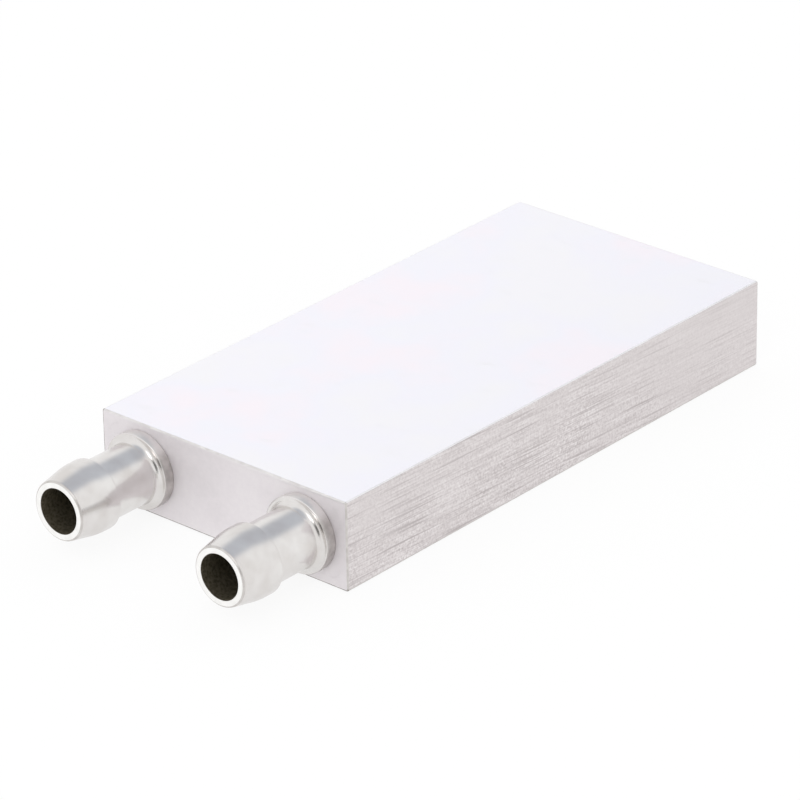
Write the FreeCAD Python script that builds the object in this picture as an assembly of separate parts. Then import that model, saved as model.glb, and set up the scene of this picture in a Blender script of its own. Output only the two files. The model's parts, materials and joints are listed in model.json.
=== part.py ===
import FreeCAD, Part
import math
import os
from FreeCAD import Vector

# Liquid cooling block: a ribbed aluminium extrusion, closed by a cap in each end, with two hose barbs.
# Millimetres. X runs across the block, Y along it with the barbs at -Y, Z up from the contact face's centre.

# Extruded body
block_width = 40.0
block_length = 80.0
block_height = 12.0
corner_radius = 0.3  # long outer edges, as the die leaves them
end_chamfer = 0.2  # edges of the two sawn ends, deburred
skin = 2.0  # metal between a contact face and the coolant
side_wall = 2.0
web = 2.0  # wall between the bank of lanes that runs out and the one that runs back
rib = 1.2
lanes_per_bank = 3
lane_corner = 0.4

# Milled ends of the body and the caps brazed into them
cap_thickness = 4.0
cap_rim = 1.2  # body metal left round a cap
cap_corner = 1.5
cap_gap = 0.02  # brazed joint round a cap
plenum_depth = 6.0  # ribs cut back behind the front cap
turn_depth = 8.0  # ribs and web cut back before the rear cap

# Turned hose barbs
port_edge = 6.8  # long side of the block to a barb's axis
barb_length = 15.0  # end face of the block to the tip
bore_radius = 3.0
tip_radius = 3.75
tip_chamfer = 0.25
crest_radius = 4.65
nose_length = 4.8  # tip to the crest of the bead
crest_land = 1.0
crest_back = 1.4  # slope from the crest down to the tube
tube_radius = 4.0
root_flare = 0.6  # where the tube widens into the collar
collar_step = 1.05  # tube to the rim of the collar
collar_thickness = 1.5
collar_chamfer = 0.25
spigot_radius = 3.8
spigot_gap = 0.02  # joint round a spigot in the front cap

# Worked out from the sizes above
front_face = -block_length / 2
rear_face = block_length / 2
mid_height = block_height / 2
port_offset = block_width / 2 - port_edge
collar_radius = tube_radius + collar_step
lane_height = block_height - 2 * skin
cavity_width = block_width - 2 * side_wall
bank_width = (cavity_width - web) / 2
bank_offset = (web + bank_width) / 2
lane_width = (bank_width - (lanes_per_bank - 1) * rib) / lanes_per_bank
lane_pitch = lane_width + rib
pocket_width = block_width - 2 * cap_rim
pocket_height = block_height - 2 * cap_rim


def rounded_bar(x, width, height, corner, start, end):
    # Bar along the block at mid height: an upright rectangle with rounded corners, drawn from start to end
    left = x - width / 2 + corner
    right = x + width / 2 - corner
    bottom = mid_height - height / 2 + corner
    top = mid_height + height / 2 - corner
    points = [Vector(left, start, bottom), Vector(right, start, bottom)]
    points += [Vector(right, start, top), Vector(left, start, top)]
    outline = Part.makePolygon(points + points[:1]).makeOffset2D(corner)
    return Part.Face(outline).extrude(Vector(0, end - start, 0))


def end_pocket(face, inward):
    # Seat of a cap, milled into one end
    start, end = sorted((face, face + inward * cap_thickness))
    return rounded_bar(0, pocket_width, pocket_height, cap_corner, start, end)


def lanes():
    # Straight coolant lanes, the same number in each bank
    cuts = []
    for bank in (-bank_offset, bank_offset):
        for i in range(lanes_per_bank):
            x = bank + (i - (lanes_per_bank - 1) / 2) * lane_pitch
            cuts.append(rounded_bar(x, lane_width, lane_height, lane_corner, front_face, rear_face))
    return cuts


def milled_spaces():
    # A plenum behind each barb, with the web left between them, and one turning space at the far end
    plenum_end = front_face + cap_thickness + plenum_depth
    turn_start = rear_face - cap_thickness - turn_depth
    cuts = [rounded_bar(0, cavity_width, lane_height, lane_corner, turn_start, rear_face)]
    for bank in (-bank_offset, bank_offset):
        cuts.append(rounded_bar(bank, bank_width, lane_height, lane_corner, front_face, plenum_end))
    return cuts


def channel_body():
    blank = rounded_bar(0, block_width, block_height, corner_radius, front_face, rear_face)
    end_edges = [edge for edge in blank.Edges if edge.BoundBox.YLength < end_chamfer]
    blank = blank.makeChamfer(end_chamfer, end_edges)
    pockets = [end_pocket(front_face, 1), end_pocket(rear_face, -1)]
    return blank.cut(lanes() + milled_spaces() + pockets).removeSplitter()


def end_cap(face, inward):
    # Plate that fills a pocket, flush with the end of the body
    width = pocket_width - 2 * cap_gap
    height = pocket_height - 2 * cap_gap
    start, end = sorted((face, face + inward * cap_thickness))
    return rounded_bar(0, width, height, cap_corner - cap_gap, start, end)


def port_hole(x):
    # Hole through the front cap for a barb's spigot
    start = Vector(x, front_face, mid_height)
    return Part.makeCylinder(spigot_radius + spigot_gap, cap_thickness, start, Vector(0, 1, 0))


def front_end_cap():
    return end_cap(front_face, 1).cut([port_hole(-port_offset), port_hole(port_offset)])


def rear_end_cap():
    return end_cap(rear_face, -1)


def nose_arc(start, crest):
    # Swelling nose of the bead, which runs level into the crest
    rise = crest.x - start.x
    length = crest.y - start.y
    radius = (length ** 2 + rise ** 2) / (2 * rise)
    half_angle = math.asin(length / radius) / 2
    middle_x = crest.x - radius * (1 - math.cos(half_angle))
    middle_y = crest.y - radius * math.sin(half_angle)
    return Part.Arc(start, Vector(middle_x, middle_y, 0), crest).toShape()


def barb(x):
    # Turned profile with its radius along X and its axis along Y: back from the crest of the bead, over the
    # collar and the spigot, out through the bore to the lip, and up the nose to the crest again
    tip = front_face - barb_length
    crest_start = tip + nose_length
    crest_end = crest_start + crest_land
    collar_front = front_face - collar_thickness
    spigot_end = front_face + cap_thickness
    crest = Vector(crest_radius, crest_start, 0)
    nose_start = Vector(tip_radius, tip + tip_chamfer, 0)
    points = [
        crest,
        Vector(crest_radius, crest_end, 0),
        Vector(tube_radius, crest_end + crest_back, 0),
        Vector(tube_radius, collar_front - root_flare, 0),
        Vector(tube_radius + root_flare, collar_front, 0),
        Vector(collar_radius - collar_chamfer, collar_front, 0),
        Vector(collar_radius, collar_front + collar_chamfer, 0),
        Vector(collar_radius, front_face, 0),
        Vector(spigot_radius, front_face, 0),
        Vector(spigot_radius, spigot_end, 0),
        Vector(bore_radius, spigot_end, 0),
        Vector(bore_radius, tip, 0),
        Vector(tip_radius - tip_chamfer, tip, 0),
        nose_start,
    ]
    profile = Part.Wire(Part.makePolygon(points).Edges + [nose_arc(nose_start, crest)])
    turned = Part.Face(profile).revolve(Vector(0, 0, 0), Vector(0, 1, 0), 360)
    return turned.translated(Vector(x, 0, mid_height))


nodes = {
    "channel_body": channel_body(),
    "front_end_cap": front_end_cap(),
    "rear_end_cap": rear_end_cap(),
    "inlet_barb": barb(-port_offset),
    "outlet_barb": barb(port_offset),
}

os.makedirs("parts", exist_ok=True)
for name, shape in nodes.items():
    shape.exportStep(f"parts/{name}.step")
    print(name, len(shape.Solids), "solid,", round(shape.Volume), "cubic mm, valid", shape.isValid())
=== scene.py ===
import bpy
import json
import math
from mathutils import Matrix, Vector


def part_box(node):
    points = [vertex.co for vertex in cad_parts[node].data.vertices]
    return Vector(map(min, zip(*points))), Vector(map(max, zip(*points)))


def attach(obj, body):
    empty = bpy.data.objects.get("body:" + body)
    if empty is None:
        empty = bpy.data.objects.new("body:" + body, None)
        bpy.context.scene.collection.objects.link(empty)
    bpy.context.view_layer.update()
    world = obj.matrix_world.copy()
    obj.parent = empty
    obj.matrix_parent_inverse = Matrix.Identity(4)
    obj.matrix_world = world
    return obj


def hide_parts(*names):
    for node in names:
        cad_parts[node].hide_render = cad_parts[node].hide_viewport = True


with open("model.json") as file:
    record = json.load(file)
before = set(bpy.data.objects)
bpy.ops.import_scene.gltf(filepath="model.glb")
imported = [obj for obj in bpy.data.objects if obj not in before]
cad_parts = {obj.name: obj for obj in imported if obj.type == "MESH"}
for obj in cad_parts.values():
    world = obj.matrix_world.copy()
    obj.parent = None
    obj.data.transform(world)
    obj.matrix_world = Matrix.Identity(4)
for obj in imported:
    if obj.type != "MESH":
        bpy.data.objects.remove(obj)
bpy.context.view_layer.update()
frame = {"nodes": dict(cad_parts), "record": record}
mm = 0.001
scene = bpy.context.scene
scene.view_settings.view_transform = "Standard"
print("frame loaded:", ", ".join(sorted(frame["nodes"])))

# A Mix node's inputs for two values and for two colours, and its output for the mixed colour
valueA, valueB = 2, 3
colourA, colourB = 6, 7
mixedColour = 2


def linear(hexColour):
    channels = [int(hexColour[i:i + 2], 16) / 255 for i in (1, 3, 5)]
    return tuple(c / 12.92 if c <= 0.04045 else ((c + 0.055) / 1.055) ** 2.4 for c in channels) + (1.0,)


# Adds one node. A node or socket fed to it is linked, a list links several, and the rest are values
def addNode(tree, kind, feeds=None, stops=(), **settings):
    node = tree.nodes.new(kind)
    for name, value in settings.items():
        setattr(node, name, value)
    for i, (level, colour) in enumerate(stops):  # only a colour ramp has stops
        elements = node.color_ramp.elements
        if i == len(elements):
            elements.new(level)
        elements[i].position = level
        elements[i].color = linear(colour)
    for key, value in (feeds or {}).items():
        for item in value if isinstance(value, list) else [value]:
            if isinstance(item, bpy.types.Node):
                item = next(socket for socket in item.outputs if socket.enabled)
            if isinstance(item, bpy.types.NodeSocket):
                tree.links.new(item, node.inputs[key])
            else:
                node.inputs[key].default_value = item
    return node


# Camera, placed from the photograph's perspective

photoCamera = {
    "lens": 232.685,
    "sensor": 36.0,
    "clipStart": 0.01,  # m
    "aim": (0.0, 0.0, 6.0),  # mm, middle of the block
    "azimuth": 41.4026,  # degrees from the barbs' side towards +X
    "elevation": 26.3011,
    "roll": -1.0039,
    "distance": 652.48,
    "slide": (-4.836, -1.770),  # mm to the right and up in the picture
}


def placeCamera(view):
    azimuth, elevation, roll = (math.radians(view[key]) for key in ("azimuth", "elevation", "roll"))
    back = Vector((math.sin(azimuth), -math.cos(azimuth), 0)) * math.cos(elevation)
    back.z = math.sin(elevation)
    levelRight = Vector((0, 0, 1)).cross(back).normalized()
    levelUp = back.cross(levelRight)
    right = levelRight * math.cos(roll) + levelUp * math.sin(roll)
    up = levelUp * math.cos(roll) - levelRight * math.sin(roll)
    eye = Vector(view["aim"]) + right * view["slide"][0] + up * view["slide"][1] + back * view["distance"]
    data = bpy.data.cameras.new("photoCamera")
    data.lens = view["lens"]
    data.sensor_width = view["sensor"]
    data.clip_start = view["clipStart"]
    camera = bpy.data.objects.new("photoCamera", data)
    turn = Matrix((right, up, back)).transposed().to_4x4()
    camera.matrix_world = Matrix.Translation(eye * mm) @ turn
    scene.collection.objects.link(camera)
    scene.camera = camera


placeCamera(photoCamera)
print("camera placed")


# Studio: a white sweep with one softbox, open at the top and behind the lens, where the room is dimmer

studio = {
    "white": "#FFFFFF",
    "ceiling": "#C9CDD5",
    "ceilingAt": (-0.08, 0.45, 0.89),  # where the opening is, as a direction
    "ceilingStretch": (0.9, 0.45, 0.5),  # it is longer along the block than across
    "ceilingReach": (0.54, 0.25),  # how far from its middle the white starts to fade and is gone
    "lensSide": "#605F5E",
    "lensSideAt": (0.62, -0.74, 0.25),
    "lensSideStretch": (1.0, 1.0, 0.7),
    "lensSideReach": (0.5, 0.18),
    "floorSize": 6.0,  # m
    "floorDrop": 0.05,  # mm below the block
    "floorColour": "#FAFAFA",
    "floorGlow": 0.88,  # share of the floor that shows the lens plain white, the rest keeps the shadow
    "floorMirror": 0.75,  # the same share for what the metal mirrors
    "softboxAt": (0.57, -1.37, 1.19),  # m
    "softboxSize": 0.7,  # m
    "softboxWatts": 4.0,
}


def buildStudio(values):
    world = bpy.data.worlds.new("whiteStudio")
    world.use_nodes = True
    scene.world = world
    tree = world.node_tree
    tree.nodes.clear()
    direction = addNode(tree, "ShaderNodeTexCoord").outputs["Generated"]
    glossy = addNode(tree, "ShaderNodeLightPath").outputs["Is Glossy Ray"]
    colour = linear(values["white"])
    for opening in ("ceiling", "lensSide"):
        middle = values[opening + "At"]
        stretch = values[opening + "Stretch"]
        start, full = values[opening + "Reach"]
        offset = addNode(tree, "ShaderNodeVectorMath", {0: direction, 1: middle}, operation="SUBTRACT")
        offset = addNode(tree, "ShaderNodeVectorMath", {0: offset, 1: stretch}, operation="MULTIPLY")
        distance = addNode(tree, "ShaderNodeVectorMath", {0: offset}, operation="LENGTH").outputs["Value"]
        gap = addNode(tree, "ShaderNodeMapRange", {
            "Value": distance, "From Min": start, "From Max": full,
        }, interpolation_type="SMOOTHSTEP")
        mirrored = addNode(tree, "ShaderNodeMath", {0: gap, 1: glossy}, operation="MULTIPLY")
        colour = addNode(tree, "ShaderNodeMix", {
            "Factor": mirrored, colourA: colour, colourB: linear(values[opening]),
        }, data_type="RGBA").outputs[mixedColour]
    background = addNode(tree, "ShaderNodeBackground", {"Color": colour, "Strength": 1.0})
    addNode(tree, "ShaderNodeOutputWorld", {"Surface": background})

    # Pale matt paper: white to the lens and in the metal, part left to take a shadow, and clear from below
    paper = bpy.data.materials.new("paleStudioPaper")
    paper.use_nodes = True
    tree = paper.node_tree
    tree.nodes.clear()
    rays = addNode(tree, "ShaderNodeLightPath").outputs
    bounced = addNode(tree, "ShaderNodeMath", {
        0: rays["Is Glossy Ray"], 1: rays["Is Transmission Ray"],
    }, operation="MAXIMUM")
    bounced = addNode(tree, "ShaderNodeMath", {0: bounced, 1: values["floorMirror"]}, operation="MULTIPLY")
    share = addNode(tree, "ShaderNodeMath", {
        0: rays["Is Camera Ray"], 1: values["floorGlow"], 2: bounced,
    }, operation="MULTIPLY_ADD")
    matt = addNode(tree, "ShaderNodeBsdfDiffuse", {"Color": linear(values["floorColour"])})
    glow = addNode(tree, "ShaderNodeEmission", {"Color": linear(values["white"]), "Strength": 1.0})
    surface = addNode(tree, "ShaderNodeMixShader", {0: share, 1: matt, 2: glow})
    below = addNode(tree, "ShaderNodeNewGeometry").outputs["Backfacing"]
    clear = addNode(tree, "ShaderNodeBsdfTransparent")
    surface = addNode(tree, "ShaderNodeMixShader", {0: below, 1: surface, 2: clear})
    addNode(tree, "ShaderNodeOutputMaterial", {"Surface": surface})

    half = values["floorSize"] / 2
    drop = -values["floorDrop"] * mm
    corners = [(-half, -half, drop), (half, -half, drop), (half, half, drop), (-half, half, drop)]
    mesh = bpy.data.meshes.new("floor")
    mesh.from_pydata(corners, [], [(0, 1, 2, 3)])
    mesh.materials.append(paper)
    floor = bpy.data.objects.new("floor", mesh)
    scene.collection.objects.link(floor)

    lamp = bpy.data.lights.new("softbox", "AREA")
    lamp.size = values["softboxSize"]
    lamp.energy = values["softboxWatts"]
    softbox = bpy.data.objects.new("softbox", lamp)
    softbox.location = values["softboxAt"]
    softbox.rotation_euler = Vector(values["softboxAt"]).to_track_quat("Z", "Y").to_euler()
    scene.collection.objects.link(softbox)


buildStudio(studio)
print("studio lit")


# Finishes. All are bare aluminium, and differ in how each surface was cut. Three also carry painted shade,
# and the collar's a painted highlight

def startMetal(name, roughness):
    material = bpy.data.materials.new(name)
    material.use_nodes = True
    tree = material.node_tree
    shader = tree.nodes["Principled BSDF"]
    shader.inputs["Metallic"].default_value = 1.0
    shader.inputs["Roughness"].default_value = roughness
    return material, tree, addNode(tree, "ShaderNodeTexCoord").outputs["Object"]


# Joins colour and relief to the shader. Marks make the metal rougher or smoother where a finish has a swing
def endMetal(tree, values, colour, marks, height):
    shader = tree.nodes["Principled BSDF"]
    if "roughnessSwing" in values:
        roughness = addNode(tree, "ShaderNodeMapRange", {
            "Value": marks,
            "To Min": values["roughness"] - values["roughnessSwing"],
            "To Max": values["roughness"] + values["roughnessSwing"],
        })
        tree.links.new(roughness.outputs[0], shader.inputs["Roughness"])
    bump = addNode(tree, "ShaderNodeBump", {
        "Height": height, "Strength": values["relief"], "Distance": values["reliefDepth"] * mm,
    })
    tree.links.new(colour, shader.inputs["Base Color"])
    tree.links.new(bump.outputs[0], shader.inputs["Normal"])


# Lapped aluminium: random grit leaves an almost white, even face with a slight cloudiness and a few scuffs
lapped = {
    "clouds": ("#FDF7FD", "#F9F8FF", "#FAF9FD"),
    "cloudLevels": (0.36, 0.5, 0.64),  # of the noise, one for each tint
    "cloudSize": 16.0,  # mm
    "scuff": "#F5F4F9",
    "scuffSize": (6.0, 2.5),  # mm long and wide
    "scuffLevels": (0.61, 0.85),  # of the noise, where a scuff starts and is full
    "grit": 0.5,  # mm, far coarser than the real lapping grit so that it shows
    "roughness": 0.24,
    "roughnessSwing": 0.05,
    "relief": 0.04,
    "reliefDepth": 0.05,  # mm
}


def lappedAluminium(values):
    material, tree, place = startMetal("lappedAluminium", values["roughness"])
    clouds = addNode(tree, "ShaderNodeTexNoise", {
        "Vector": place, "Scale": 1 / (values["cloudSize"] * mm), "Detail": 3.0,
    })
    tints = zip(values["cloudLevels"], values["clouds"])
    tint = addNode(tree, "ShaderNodeValToRGB", {"Fac": clouds}, tints)
    long, wide = values["scuffSize"]
    stretched = addNode(tree, "ShaderNodeMapping", {
        "Vector": place, "Scale": (1 / (long * mm), 1 / (wide * mm), 0),
    })
    lines = addNode(tree, "ShaderNodeTexNoise", {"Vector": stretched, "Scale": 1.0, "Detail": 3.0})
    start, full = values["scuffLevels"]
    scuffs = addNode(tree, "ShaderNodeMapRange", {"Value": lines, "From Min": start, "From Max": full})
    colour = addNode(tree, "ShaderNodeMix", {
        "Factor": scuffs, colourA: tint, colourB: linear(values["scuff"]),
    }, data_type="RGBA").outputs[mixedColour]
    grit = addNode(tree, "ShaderNodeTexNoise", {
        "Vector": place, "Scale": 1 / (values["grit"] * mm), "Detail": 2.0,
    })
    endMetal(tree, values, colour, grit, grit)
    return material


# Belt-ground aluminium: the belt ran almost along the block, so short fine lines lie a little off its length
beltGround = {
    "colours": ("#C1BABA", "#DDD7D7", "#F2EEEE"),
    "colourLevels": (0.3, 0.5, 0.7),  # of the noise, one for each colour
    "scratch": "#BDB6B6",
    "scratchLevels": (0.54, 0.72),  # of the noise, where a scratch starts and is full
    "lineSpacing": 0.25,  # mm, about twice that of the real grit so that the lines show
    "lineLength": 9.0,  # mm
    "scratchSpacing": 0.28,  # mm
    "scratchLength": 12.0,  # mm
    "markDepth": 5.0,  # mm across the block over which the marks change
    "lineTilt": 2.2,  # degrees down to the rear
    "grit": 0.3,  # mm, marks of single grains
    "gritShare": 0.47,
    "lightTouch": (5.0, 35.0),  # mm along the block, where the belt pressed less
    "lightPress": (1.0, 0.4),  # strength of the lines at its start and end
    "heavyTouch": (9.0, 2.0),  # mm above the base, where it pressed more
    "heavyPress": (0.9, 1.35),
    "patchSize": 11.0,  # mm, uneven places
    "patchTouch": (0.35, 0.65),  # levels of the noise
    "patchPress": (0.5, 1.0),
    "roughness": 0.4,
    "roughnessSwing": -0.1,  # dark lines are the rougher ones
    "relief": 0.2,
    "reliefDepth": 0.03,  # mm
}


def beltGroundAluminium(values):
    material, tree, place = startMetal("beltGroundAluminium", values["roughness"])
    tilt = math.radians(values["lineTilt"])
    tilted = addNode(tree, "ShaderNodeMapping", {"Vector": place, "Rotation": (tilt, 0, 0)})
    layers = []
    for layer, detail in (("line", 3.0), ("scratch", 1.0)):
        sizes = (values["markDepth"], values[layer + "Length"], values[layer + "Spacing"])
        stretched = addNode(tree, "ShaderNodeMapping", {
            "Vector": tilted, "Scale": tuple(1 / (size * mm) for size in sizes),
        })
        layers.append(addNode(tree, "ShaderNodeTexNoise", {
            "Vector": stretched, "Scale": 1.0, "Detail": detail, "Roughness": 0.6,
        }))
    lines, scratches = layers
    grit = addNode(tree, "ShaderNodeTexNoise", {
        "Vector": place, "Scale": 1 / (values["grit"] * mm), "Detail": 1.0,
    })
    lines = addNode(tree, "ShaderNodeMix", {
        "Factor": values["gritShare"], valueA: lines, valueB: grit,
    }, data_type="FLOAT")

    # How deep the belt cut: by the place along the block, the height and uneven patches
    spot = addNode(tree, "ShaderNodeSeparateXYZ", {0: place}).outputs
    patches = addNode(tree, "ShaderNodeTexNoise", {
        "Vector": place, "Scale": 1 / (values["patchSize"] * mm), "Detail": 2.0,
    })
    depth = None
    for source, touch, unit, easing in (
        (spot["Y"], "light", mm, "SMOOTHSTEP"),
        (spot["Z"], "heavy", mm, "LINEAR"),
        (patches, "patch", 1, "LINEAR"),
    ):
        first, last = values[touch + "Touch"]
        before, after = values[touch + "Press"]
        press = addNode(tree, "ShaderNodeMapRange", {
            "Value": source, "From Min": first * unit, "From Max": last * unit,
            "To Min": before, "To Max": after,
        }, interpolation_type=easing)
        if depth:
            press = addNode(tree, "ShaderNodeMath", {0: depth, 1: press}, operation="MULTIPLY")
        depth = press

    swing = addNode(tree, "ShaderNodeMath", {0: lines, 1: 0.5}, operation="SUBTRACT")  # noise lies about 0.5
    shade = addNode(tree, "ShaderNodeMath", {0: swing, 1: depth, 2: 0.5}, operation="MULTIPLY_ADD")
    tints = zip(values["colourLevels"], values["colours"])
    tint = addNode(tree, "ShaderNodeValToRGB", {"Fac": shade}, tints)
    start, full = values["scratchLevels"]
    deep = addNode(tree, "ShaderNodeMapRange", {"Value": scratches, "From Min": start, "From Max": full})
    deep = addNode(tree, "ShaderNodeMath", {0: deep, 1: depth}, operation="MULTIPLY")
    colour = addNode(tree, "ShaderNodeMix", {
        "Factor": deep, colourA: tint, colourB: linear(values["scratch"]),
    }, data_type="RGBA").outputs[mixedColour]
    groove = addNode(tree, "ShaderNodeMath", {0: shade, 1: deep}, operation="SUBTRACT")
    endMetal(tree, values, colour, shade, groove)
    return material


# Face-milled aluminium: body and caps were cut flush in one pass, so the face is soft grey with faint bands
faceMilled = {
    "colours": ("#ECE8EA", "#F1EDEF", "#F5F2F3"),
    "colourLevels": (0.3, 0.5, 0.7),  # of the noise, one for each colour
    "bandWidth": 7.0,  # mm
    "grain": 0.6,  # mm
    "grainShare": 0.4,
    "roughness": 0.7,
    "roughnessSwing": 0.08,
    "relief": 0.1,
    "reliefDepth": 0.05,  # mm
}


def faceMilledAluminium(values):
    material, tree, place = startMetal("faceMilledAluminium", values["roughness"])
    bands, grain = (addNode(tree, "ShaderNodeTexNoise", {
        "Vector": place, "Scale": 1 / (values[size] * mm), "Detail": 3.0,
    }) for size in ("bandWidth", "grain"))
    blend = addNode(tree, "ShaderNodeMix", {
        "Factor": values["grainShare"], valueA: bands, valueB: grain,
    }, data_type="FLOAT")
    tints = zip(values["colourLevels"], values["colours"])
    tint = addNode(tree, "ShaderNodeValToRGB", {"Fac": blend}, tints)
    endMetal(tree, values, tint.outputs[0], grain, grain)
    return material


# Turned aluminium: the lathe leaves a bright skin with very fine rings about the axis
turned = {
    "colours": ("#DAD6D3", "#E2DFDD", "#E8E6E4"),
    "colourLevels": (0.3, 0.5, 0.7),  # of the noise, one for each colour
    "feed": 0.16,  # mm between rings, twice a fine feed so that it shows
    "ringShare": 0.08,
    "cloudSize": 3.0,  # mm
    "axis": (13.2, 6.0),  # mm from the middle and above the base
    "roughness": 0.22,
    "roughnessSwing": 0.03,
    "relief": 0.008,
    "reliefDepth": 0.02,  # mm
}


def turnedAluminium(values):
    material, tree, place = startMetal("turnedAluminium", values["roughness"])
    axisX, axisZ = (part * mm for part in values["axis"])
    spot = addNode(tree, "ShaderNodeSeparateXYZ", {0: place}).outputs
    side = addNode(tree, "ShaderNodeMath", {0: spot["X"]}, operation="ABSOLUTE")
    across = addNode(tree, "ShaderNodeMath", {0: side, 1: axisX}, operation="SUBTRACT")
    above = addNode(tree, "ShaderNodeMath", {0: spot["Z"], 1: axisZ}, operation="SUBTRACT")
    flat = addNode(tree, "ShaderNodeCombineXYZ", {"X": across, "Y": above})
    radius = addNode(tree, "ShaderNodeVectorMath", {0: flat}, operation="LENGTH").outputs["Value"]
    travel = addNode(tree, "ShaderNodeMath", {0: spot["Y"], 1: radius}, operation="ADD")
    rings = addNode(tree, "ShaderNodeTexNoise", {
        "W": travel, "Scale": 1 / (values["feed"] * mm), "Detail": 2.0,
    }, noise_dimensions="1D")
    clouds = addNode(tree, "ShaderNodeTexNoise", {
        "Vector": place, "Scale": 1 / (values["cloudSize"] * mm), "Detail": 2.0,
    })
    blend = addNode(tree, "ShaderNodeMix", {
        "Factor": values["ringShare"], valueA: clouds, valueB: rings,
    }, data_type="FLOAT")
    tints = zip(values["colourLevels"], values["colours"])
    tint = addNode(tree, "ShaderNodeValToRGB", {"Fac": blend}, tints)
    endMetal(tree, values, tint.outputs[0], rings, rings)
    return material


# Filed aluminium: burrs on the ends' upper edges were knocked off by hand, so these are dull with a few nicks
filed = {"colours": ("#E6E3E2", "#EEECEB", "#F4F2F1"), "nick": 1.3, "roughness": 0.65}  # nicks are in mm

# Drawn aluminium: the die leaves the lanes inside and the long upper corners dull and pale
drawn = {"colours": ("#F8F6F6", "#FDFCFC", "#FFFEFE"), "nick": 3.0, "roughness": 0.7}

# Drilled aluminium: the bore is coloured dark and finely speckled
drilled = {"colours": ("#766F5E", "#8F8775", "#A09886"), "nick": 0.35, "roughness": 0.6}

# Faced aluminium: a sharp tool cut the lip last, so it is the brightest surface
faced = {"colours": ("#F6F5F3", "#FBFAF8", "#FEFDFC"), "nick": 1.0, "roughness": 0.3}

# Deburred aluminium: lips and most upright edges were only wiped over, so they are grey
# On the long lower corners the same grey is painted shade, where the block meets the floor
deburredAndShaded = {"colours": ("#C9C5C2", "#D2CECB", "#DAD7D4"), "nick": 0.9, "roughness": 0.4}

# Brazed aluminium: the collar's side, a little mottled, is painted darker as shade and lighter on top as a
# highlight
brazedWithPaintedLight = {
    "colours": ("#B2AEAB", "#BFBBB8", "#CCC8C5"),
    "nick": 1.1,
    "roughness": 0.4,
    # painted highlight: the colour the collar's side takes near its top
    "paintedHighlight": "#E2DFDD",
    "paintedHighlightHeight": (8.6, 10.2),  # mm above the base, where it starts and is full
}

# Painted edge shade on the ends' lower edges, where the block meets the floor; the front-left upright edge is
# darker too
paintedEdgeShade = {"colours": ("#928E8B", "#A5A19E", "#B8B4B1"), "nick": 1.5, "roughness": 0.55}

# What these speckled finishes share
speckle = {
    "colourLevels": (0.34, 0.5, 0.66),  # of the noise, one for each colour
    "relief": 0.15,
    "reliefDepth": 0.1,  # mm
}


def speckledAluminium(name, ownValues):
    values = {**speckle, **ownValues}
    material, tree, place = startMetal(name, values["roughness"])
    specks = addNode(tree, "ShaderNodeTexNoise", {
        "Vector": place, "Scale": 1 / (values["nick"] * mm), "Detail": 3.0,
    })
    tints = zip(values["colourLevels"], values["colours"])
    colour = addNode(tree, "ShaderNodeValToRGB", {"Fac": specks}, tints).outputs[0]
    # Painted highlight: the collar's side turns lighter towards its top
    if "paintedHighlight" in values:
        height = addNode(tree, "ShaderNodeSeparateXYZ", {0: place}).outputs["Z"]
        start, full = values["paintedHighlightHeight"]
        share = addNode(tree, "ShaderNodeMapRange", {
            "Value": height, "From Min": start * mm, "From Max": full * mm,
        }, interpolation_type="SMOOTHSTEP")
        colour = addNode(tree, "ShaderNodeMix", {
            "Factor": share, colourA: colour, colourB: linear(values["paintedHighlight"]),
        }, data_type="RGBA").outputs[mixedColour]
    endMetal(tree, values, colour, specks, specks)
    return material


finishes = {
    "lapped": lappedAluminium(lapped),
    "beltGround": beltGroundAluminium(beltGround),
    "faceMilled": faceMilledAluminium(faceMilled),
    "turned": turnedAluminium(turned),
    "filed": speckledAluminium("filedAluminium", filed),
    "drawn": speckledAluminium("drawnAluminium", drawn),
    "drilled": speckledAluminium("drilledAluminium", drilled),
    "faced": speckledAluminium("facedAluminium", faced),
    "deburredAndShaded": speckledAluminium("deburredAndShadedAluminium", deburredAndShaded),
    "brazedWithPaintedLight": speckledAluminium("brazedWithPaintedLightAluminium", brazedWithPaintedLight),
    "paintedEdgeShade": speckledAluminium("paintedEdgeShadeAluminium", paintedEdgeShade),
}
print("finishes made:", len(finishes))


# A tree with named inputs, which hands back the tree and what its inputs give
def startTree(name, inputs):
    tree = bpy.data.node_groups.new(name, "GeometryNodeTree")
    tree.interface.new_socket("Geometry", in_out="OUTPUT", socket_type="NodeSocketGeometry")
    for key, value in inputs.items():
        kind = "NodeSocketInt" if isinstance(value, int) else "NodeSocketFloat"
        if isinstance(value, bpy.types.Material):
            kind = "NodeSocketMaterial"
        tree.interface.new_socket(key, in_out="INPUT", socket_type=kind)
    return tree, addNode(tree, "NodeGroupInput").outputs


# A piece shaped by a tree, then by the other modifiers, and kept as a plain mesh
def makePiece(name, tree, inputs, modifiers=()):
    piece = bpy.data.objects.new(name, bpy.data.meshes.new(name))
    scene.collection.objects.link(piece)
    nodes = piece.modifiers.new("shape", "NODES")
    nodes.node_group = tree
    sockets = {s.name: s.identifier for s in tree.interface.items_tree if s.in_out == "INPUT"}
    for key, value in inputs.items():
        nodes[sockets[key]] = value
    for kind, settings in modifiers:
        modifier = piece.modifiers.new(kind.lower(), kind)
        for key, value in settings.items():
            setattr(modifier, key, value)
    shaped = piece.evaluated_get(bpy.context.evaluated_depsgraph_get())
    mesh = bpy.data.meshes.new_from_object(shaped)
    for slot in reversed(range(len(mesh.materials))):
        if not mesh.materials[slot]:
            mesh.materials.pop(index=slot)
    piece.modifiers.clear()
    piece.data = mesh
    mesh.name = name
    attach(piece, "root")
    print(name, "made,", len(mesh.polygons), "faces")
    return piece


# Hose barb, a turned profile swept round its axis

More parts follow.
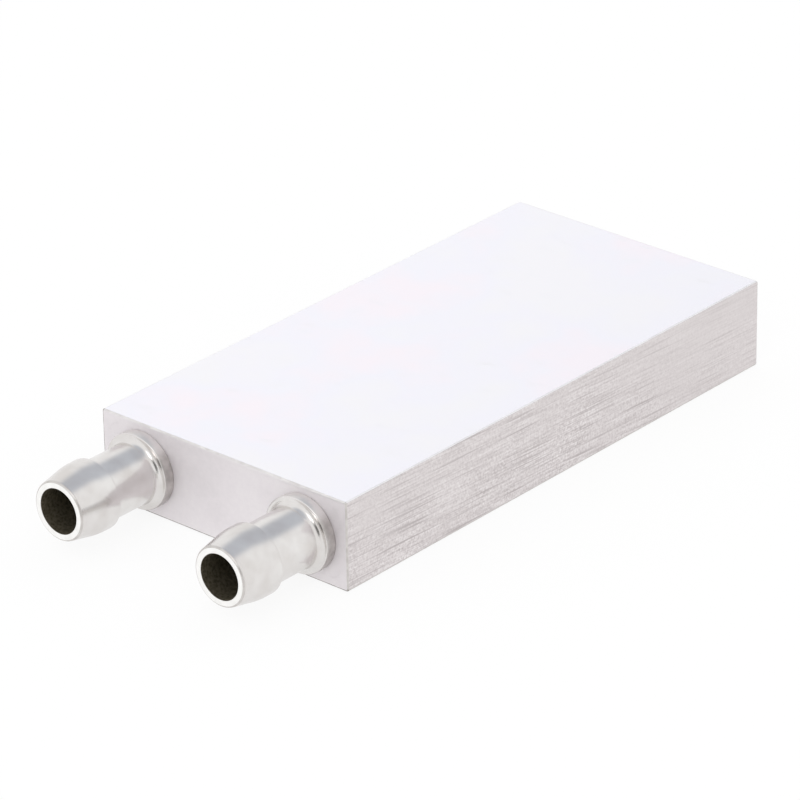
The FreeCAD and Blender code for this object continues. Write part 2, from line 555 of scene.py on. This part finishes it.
barb = {
    "Bore Radius": 3.0 * mm,
    "Tip Radius": 3.9 * mm,
    "Crest Radius": 4.65 * mm,
    "Tube Radius": 4.0 * mm,
    "Collar Radius": 5.05 * mm,
    "Spigot Radius": 3.8 * mm,
    "Nose Swell": 4.0 * mm,  # from the tip, where the nose's two tangents meet
    "Crest End": 6.0 * mm,
    "Tube Start": 6.5 * mm,
    "Collar Front": 13.5 * mm,
    "Seat": 15.0 * mm,
    "Spigot End": 19.0 * mm,
    "Lip Round": 0.3 * mm,
    "Nose Round": 9.0 * mm,
    "Shoulder Round": 0.12 * mm,
    "Root Round": 0.8 * mm,
    "Collar Round": 0.2 * mm,
    "Seat Round": 0.15 * mm,
    "Edge Round": 0.06 * mm,
    "Lip Depth": 0.01 * mm,
    "Braze Margin": 0.05 * mm,  # front of the collar that stays as turned
    "Rounding Steps": 7,
    "Steps Round": 128,
}


def barbTree(values):
    tree, given = startTree("turnedBarb", values)
    # Corners of the profile with their roundings, from the lip over bead and collar and back by the bore
    corners = [
        ("Bore Radius", None, "Edge Round"),
        ("Tip Radius", None, "Lip Round"),
        ("Crest Radius", "Nose Swell", "Nose Round"),
        ("Crest Radius", "Crest End", "Shoulder Round"),
        ("Tube Radius", "Tube Start", "Shoulder Round"),
        ("Tube Radius", "Collar Front", "Root Round"),
        ("Collar Radius", "Collar Front", "Collar Round"),
        ("Collar Radius", "Seat", "Seat Round"),
        ("Spigot Radius", "Seat", None),
        ("Spigot Radius", "Spigot End", None),
        ("Bore Radius", "Spigot End", None),
    ]
    index = addNode(tree, "GeometryNodeInputIndex")
    spots = addNode(tree, "GeometryNodeIndexSwitch", {"Index": index}, data_type="VECTOR")
    rounds = addNode(tree, "GeometryNodeIndexSwitch", {"Index": index}, data_type="FLOAT")
    for switch in (spots, rounds):
        for _ in range(len(corners) - 2):  # a new switch has two items
            switch.index_switch_items.new()
    for i, (radius, along, rounding) in enumerate(corners):
        feeds = {"X": given[radius]}
        if along:
            feeds["Y"] = given[along]
        spot = addNode(tree, "ShaderNodeCombineXYZ", feeds)
        tree.links.new(spot.outputs[0], spots.inputs[i + 1])
        if rounding:
            tree.links.new(given[rounding], rounds.inputs[i + 1])
    chain = addNode(tree, "GeometryNodeMeshLine", {"Count": len(corners)})
    chain = addNode(tree, "GeometryNodeMeshToCurve", {"Mesh": chain})
    chain = addNode(tree, "GeometryNodeSetPosition", {"Geometry": chain, "Position": spots})
    chain = addNode(tree, "GeometryNodeSetSplineCyclic", {"Geometry": chain, "Cyclic": True})
    chain = addNode(tree, "GeometryNodeFilletCurve", {
        "Curve": chain, "Radius": rounds, "Count": given["Rounding Steps"], "Limit Radius": True,
    }, mode="POLY")

    # The sweep adds the circle's radius to the profile, so the profile starts that much nearer to the axis
    inset = addNode(tree, "ShaderNodeCombineXYZ", {"X": given["Bore Radius"]})
    inset = addNode(tree, "ShaderNodeVectorMath", {0: inset, 1: (-1, -1, -1)}, operation="MULTIPLY")
    profile = addNode(tree, "GeometryNodeTransform", {"Geometry": chain, "Translation": inset})
    circle = addNode(tree, "GeometryNodeCurvePrimitiveCircle", {
        "Resolution": given["Steps Round"], "Radius": given["Bore Radius"],
    })
    swept = addNode(tree, "GeometryNodeCurveToMesh", {"Curve": circle, "Profile Curve": profile})

    # Distance from the axis and the tip tells which cut made a face. A later cut covers an earlier one
    spot = addNode(tree, "GeometryNodeInputPosition")
    flat = addNode(tree, "ShaderNodeVectorMath", {0: spot, 1: (1, 1, 0)}, operation="MULTIPLY")
    fromAxis = addNode(tree, "ShaderNodeVectorMath", {0: flat}, operation="LENGTH").outputs["Value"]
    height = addNode(tree, "ShaderNodeSeparateXYZ", {0: spot}).outputs["Z"]
    fromTip = addNode(tree, "ShaderNodeMath", {0: height, 1: -1.0}, operation="MULTIPLY")
    collarStart = addNode(tree, "ShaderNodeMath", {
        0: given["Collar Front"], 1: given["Braze Margin"],
    }, operation="ADD")
    cuts = [
        ("Edge", fromTip, "LESS_THAN", given["Lip Round"]),
        ("Lip", fromTip, "LESS_THAN", given["Lip Depth"]),
        ("Collar", fromTip, "GREATER_THAN", collarStart),
        ("Bore", fromAxis, "LESS_EQUAL", given["Bore Radius"]),
    ]
    dressed = addNode(tree, "GeometryNodeRealizeInstances", {"Geometry": swept})
    dressed = addNode(tree, "GeometryNodeSetMaterial", {"Geometry": dressed, "Material": given["Outside"]})
    for cut, distance, test, limit in cuts:
        chosen = addNode(tree, "FunctionNodeCompare", {0: distance, 1: limit}, operation=test)
        dressed = addNode(tree, "GeometryNodeSetMaterial", {
            "Geometry": dressed, "Selection": chosen, "Material": given[cut],
        })
    place = addNode(tree, "ShaderNodeCombineXYZ", {
        "X": given["Axis X"], "Y": given["Tip Y"], "Z": given["Axis Z"],
    })
    placed = addNode(tree, "GeometryNodeTransform", {
        "Geometry": dressed, "Translation": place, "Rotation": (math.radians(90), 0, 0),
    })
    addNode(tree, "NodeGroupOutput", {0: placed})
    return tree


evenNormals = ("WEIGHTED_NORMAL", {"mode": "FACE_AREA", "weight": 100, "keep_sharp": True})
barbFinishes = {
    "Outside": "turned", "Edge": "deburredAndShaded", "Lip": "faced", "Collar": "brazedWithPaintedLight", "Bore": "drilled",
}
barb.update({key: finishes[finish] for key, finish in barbFinishes.items()})
barb.update({"Axis X": 0.0, "Tip Y": 0.0, "Axis Z": 0.0})  # each port sets its own
lathe = barbTree(barb)
mounts = {mount["name"]: mount["pos_m"] for mount in frame["record"]["mounts"]}
for port in ("inlet", "outlet"):
    node = port + "_barb"
    axisX, _, axisZ = mounts[port + "_bore"]
    barbSizes = {**barb, "Axis X": axisX, "Tip Y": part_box(node)[0].y, "Axis Z": axisZ}
    piece = makePiece("turned_" + node, lathe, barbSizes, [evenNormals])
    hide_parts(node)


# Block, an extrusion with a bank of lanes each side of its web, milled out at both ends for the caps

block = {
    "width": 40.0,  # mm
    "length": 80.0,
    "height": 12.0,
    "cornerRadius": 0.3,
    "cornerSteps": 4,
    "endRound": 0.2,
    "endSteps": 3,
    "sideWall": 2.0,
    "skin": 2.0,
    "web": 2.0,
    "rib": 1.2,
    "lanesPerBank": 3,
    "laneCorner": 0.4,
    "capThickness": 4.0,
    "capRim": 1.2,
    "capCorner": 1.5,
    "plenumDepth": 6.0,
    "turnDepth": 8.0,
    "overrun": 1.0,  # cutters run out this far past the ends
    "tolerance": 0.002,  # faces this near to the outside lie on it
    "sharpAngle": 35.0,  # degrees
    "squareOn": 0.99,  # a face whose normal lies this much along one axis is no rounded edge
    "sideways": 0.7,  # a long corner whose normal rises less than this belongs to the side
}


def blockInputs(values):
    half = values["length"] / 2
    cavity = values["width"] - 2 * values["sideWall"]
    bank = (cavity - values["web"]) / 2
    lanes = values["lanesPerBank"]
    lane = (bank - (lanes - 1) * values["rib"]) / lanes
    beyond = half + values["overrun"]
    sizes = {
        "Width": values["width"],
        "Length": values["length"],
        "Height": values["height"],
        "Corner Radius": values["cornerRadius"],
        "Front Face": -half,
        "Rear Face": half,
        "Front Cut": -beyond,
        "Rear Cut": beyond,
        "Lane Width": lane,
        "Lane Height": values["height"] - 2 * values["skin"],
        "Lane Corner": values["laneCorner"],
        "Outer Lane": (lanes - 1) / 2 * (lane + values["rib"]),
        "Bank Width": bank,
        "Bank Offset": (values["web"] + bank) / 2,
        "Cavity Width": cavity,
        "Plenum End": -half + values["capThickness"] + values["plenumDepth"],
        "Turn Start": half - values["capThickness"] - values["turnDepth"],
        "Pocket Width": values["width"] - 2 * values["capRim"],
        "Pocket Height": values["height"] - 2 * values["capRim"],
        "Pocket Corner": values["capCorner"],
        "Front Seat": -half + values["capThickness"],
        "Rear Seat": half - values["capThickness"],
        "Rim": values["capRim"],
        "Mid Height": values["height"] / 2,
        "Tolerance": values["tolerance"],
    }
    inputs = {key: value * mm for key, value in sizes.items()}
    inputs["Lanes Per Bank"] = lanes
    inputs["Corner Steps"] = values["cornerSteps"]
    inputs["Sharp Angle"] = math.radians(values["sharpAngle"])
    faces = {"Inside": "drawn", "Sides": "beltGround", "Flats": "lapped", "Ends": "faceMilled"}
    inputs.update({key: finishes[finish] for key, finish in faces.items()})
    return inputs


# A bar with rounded corners along the block, from the names of its width, height, corner, start and end
def addBar(tree, given, *names):
    width, height, corner, start, end = (given[name] for name in names)
    outline = addNode(tree, "GeometryNodeCurvePrimitiveQuadrilateral", {"Width": width, "Height": height})
    outline = addNode(tree, "GeometryNodeFilletCurve", {
        "Curve": outline, "Radius": corner, "Count": given["Corner Steps"],
    }, mode="POLY")
    ends = [addNode(tree, "ShaderNodeCombineXYZ", {"Y": place}) for place in (start, end)]
    path = addNode(tree, "GeometryNodeCurvePrimitiveLine", {"Start": ends[0], "End": ends[1]})
    return addNode(tree, "GeometryNodeCurveToMesh", {
        "Curve": path, "Profile Curve": outline, "Fill Caps": True,
    })


def blockTree(inputs):
    tree, given = startTree("ribbedBlock", inputs)
    blank = addBar(tree, given, "Width", "Height", "Corner Radius", "Front Face", "Rear Face")
    rows = []
    for reach, count in (("Outer Lane", given["Lanes Per Bank"]), ("Bank Offset", 2)):
        last = addNode(tree, "ShaderNodeCombineXYZ", {"X": given[reach]})
        first = addNode(tree, "ShaderNodeVectorMath", {0: last, "Scale": -1.0}, operation="SCALE")
        rows.append(addNode(tree, "GeometryNodeMeshLine", {
            "Count": count, "Start Location": first, "Offset": last,
        }, mode="END_POINTS"))
    laneRow, bankRow = rows
    lane = addBar(tree, given, "Lane Width", "Lane Height", "Lane Corner", "Front Cut", "Rear Cut")
    bank = addNode(tree, "GeometryNodeInstanceOnPoints", {"Points": laneRow, "Instance": lane})
    plenum = addBar(tree, given, "Bank Width", "Lane Height", "Lane Corner", "Front Cut", "Plenum End")
    cutters = []
    for cutter in (bank, plenum):
        pair = addNode(tree, "GeometryNodeInstanceOnPoints", {"Points": bankRow, "Instance": cutter})
        cutters.append(addNode(tree, "GeometryNodeRealizeInstances", {"Geometry": pair}))
    turn = addBar(tree, given, "Cavity Width", "Lane Height", "Lane Corner", "Turn Start", "Rear Cut")
    cutters.append(turn)
    for ends in (("Front Cut", "Front Seat"), ("Rear Seat", "Rear Cut")):
        cutters.append(addBar(tree, given, "Pocket Width", "Pocket Height", "Pocket Corner", *ends))
    milled = addNode(tree, "GeometryNodeMeshBoolean", {
        "Mesh 1": blank, "Mesh 2": cutters,
    }, operation="DIFFERENCE", solver="EXACT")

    # How far each edge or face lies from the outside of the block tells what it is
    spot = addNode(tree, "GeometryNodeInputPosition")
    reach = addNode(tree, "ShaderNodeVectorMath", {0: spot}, operation="ABSOLUTE")
    reach = addNode(tree, "ShaderNodeVectorMath", {0: reach, "Scale": 2.0}, operation="SCALE")
    extent = addNode(tree, "ShaderNodeSeparateXYZ", {0: reach}).outputs
    onOutside = {}
    for axis, size in (("X", "Width"), ("Y", "Length"), ("Z", "Height")):
        onOutside[axis] = addNode(tree, "FunctionNodeCompare", {
            0: extent[axis], 1: given[size], "Epsilon": given["Tolerance"],
        }, operation="EQUAL")
    beside = addNode(tree, "ShaderNodeMath", {0: extent["X"], 1: given["Width"]}, operation="SUBTRACT")
    above = addNode(tree, "ShaderNodeMath", {0: extent["Z"], 1: given["Height"]}, operation="SUBTRACT")
    nearest = addNode(tree, "ShaderNodeMath", {0: beside, 1: above}, operation="MAXIMUM")
    inRim = addNode(tree, "ShaderNodeMath", {0: given["Rim"], 1: -0.5}, operation="MULTIPLY")
    onOutline = addNode(tree, "FunctionNodeCompare", {0: nearest, 1: inRim}, operation="GREATER_THAN")
    endEdge = addNode(tree, "FunctionNodeBooleanMath", {0: onOutside["Y"], 1: onOutline}, operation="AND")
    milled = addNode(tree, "GeometryNodeStoreNamedAttribute", {
        "Geometry": milled, "Name": "bevel_weight_edge", "Value": endEdge,
    }, data_type="FLOAT", domain="EDGE")
    angle = addNode(tree, "GeometryNodeInputMeshEdgeAngle")
    sharp = addNode(tree, "FunctionNodeCompare", {
        0: angle, 1: given["Sharp Angle"],
    }, operation="GREATER_THAN")
    milled = addNode(tree, "GeometryNodeSetShadeSmooth", {"Geometry": milled, "Shade Smooth": True})
    milled = addNode(tree, "GeometryNodeSetShadeSmooth", {
        "Geometry": milled, "Selection": sharp, "Shade Smooth": False,
    }, domain="EDGE")
    lifted = addNode(tree, "ShaderNodeCombineXYZ", {"Z": given["Mid Height"]})
    dressed = addNode(tree, "GeometryNodeRealizeInstances", {"Geometry": milled})
    dressed = addNode(tree, "GeometryNodeSetMaterial", {"Geometry": dressed, "Material": given["Inside"]})
    for axis, finish in (("X", "Sides"), ("Z", "Flats"), ("Y", "Ends")):
        dressed = addNode(tree, "GeometryNodeSetMaterial", {
            "Geometry": dressed, "Selection": onOutside[axis], "Material": given[finish],
        })
    placed = addNode(tree, "GeometryNodeTransform", {"Geometry": dressed, "Translation": lifted})
    addNode(tree, "NodeGroupOutput", {0: placed})
    return tree


# How a rounded edge of the block was finished or painted with shade, or nothing where it stays as its tree
# left it
def edgeFinish(face, values):
    x, y, z = face.center / mm
    atEnd = abs(y) > values["length"] / 2 - values["endRound"]
    atSide = abs(x) > values["width"] / 2 - values["cornerRadius"]
    lower = z < values["cornerRadius"]
    frontLeft = atSide and x < 0 and y < 0
    if max(abs(part) for part in face.normal) > values["squareOn"]:
        return None
    # painted shade on the ends' lower edges; the front-left upright edge is darker too
    if atEnd and (lower or frontLeft):
        return "paintedEdgeShade"
    # the long lower corners' grey is painted shade where the block meets the floor
    if lower or (atEnd and atSide):
        return "deburredAndShaded"
    if atEnd:
        return "filed"
    if atSide and face.normal.z < values["sideways"]:
        return "beltGround"
    return None


blockSizes = blockInputs(block)
filedEnds = ("BEVEL", {
    "limit_method": "WEIGHT",
    "width": block["endRound"] * mm,
    "segments": block["endSteps"],
    "use_clamp_overlap": False,
})
ribbedBlock = makePiece("ribbed_block", blockTree(blockSizes), blockSizes, [filedEnds, evenNormals])
blockMaterials = ribbedBlock.data.materials
for finish in ("filed", "paintedEdgeShade", "deburredAndShaded"):
    blockMaterials.append(finishes[finish])
for face in ribbedBlock.data.polygons:
    finish = edgeFinish(face, block)
    if finish:
        face.material_index = blockMaterials.find(finishes[finish].name)
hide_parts("channel_body")


# Caps are the plates of the frame, cut flush with the block. Braze fills the joint round each

seam = {
    "Width": blockSizes["Pocket Width"],
    "Height": blockSizes["Pocket Height"],
    "Corner": blockSizes["Pocket Corner"],
    "Corner Steps": 8,
    "Gap": 0.02 * mm,
    "Depth": block["capThickness"] * mm,
    "Front Face": blockSizes["Front Face"],
    "Rear Seat": blockSizes["Rear Seat"],
    "Mid Height": blockSizes["Mid Height"],
    "Braze": finishes["faceMilled"],
}


def seamTree(values):
    tree, given = startTree("brazeSeams", values)
    outline, strip = (addNode(tree, "GeometryNodeCurvePrimitiveQuadrilateral", {
        "Width": given[width], "Height": given[height],
    }) for width, height in (("Width", "Height"), ("Gap", "Depth")))
    outline = addNode(tree, "GeometryNodeFilletCurve", {
        "Curve": outline, "Radius": given["Corner"], "Count": given["Corner Steps"],
    }, mode="POLY")
    half = addNode(tree, "ShaderNodeMath", {0: given["Gap"], 1: -0.5}, operation="MULTIPLY")
    deep = addNode(tree, "ShaderNodeMath", {0: given["Depth"], 1: 0.5}, operation="MULTIPLY")
    inward = addNode(tree, "ShaderNodeCombineXYZ", {"X": half, "Y": deep})
    strip = addNode(tree, "GeometryNodeTransform", {"Geometry": strip, "Translation": inward})
    ring = addNode(tree, "GeometryNodeCurveToMesh", {"Curve": outline, "Profile Curve": strip})
    ring = addNode(tree, "GeometryNodeTransform", {"Geometry": ring, "Rotation": (math.radians(90), 0, 0)})
    rings = []
    for start in ("Front Face", "Rear Seat"):
        place = addNode(tree, "ShaderNodeCombineXYZ", {"Y": given[start], "Z": given["Mid Height"]})
        rings.append(addNode(tree, "GeometryNodeTransform", {"Geometry": ring, "Translation": place}))
    both = addNode(tree, "GeometryNodeJoinGeometry", {"Geometry": rings})
    dressed = addNode(tree, "GeometryNodeRealizeInstances", {"Geometry": both})
    dressed = addNode(tree, "GeometryNodeSetMaterial", {"Geometry": dressed, "Material": given["Braze"]})
    addNode(tree, "NodeGroupOutput", {0: dressed})
    return tree


brazeSeams = makePiece("braze_seams", seamTree(seam), seam)

for node in ("front_end_cap", "rear_end_cap"):
    slots = frame["nodes"][node].data.materials
    slots.clear()
    slots.append(finishes["faceMilled"])
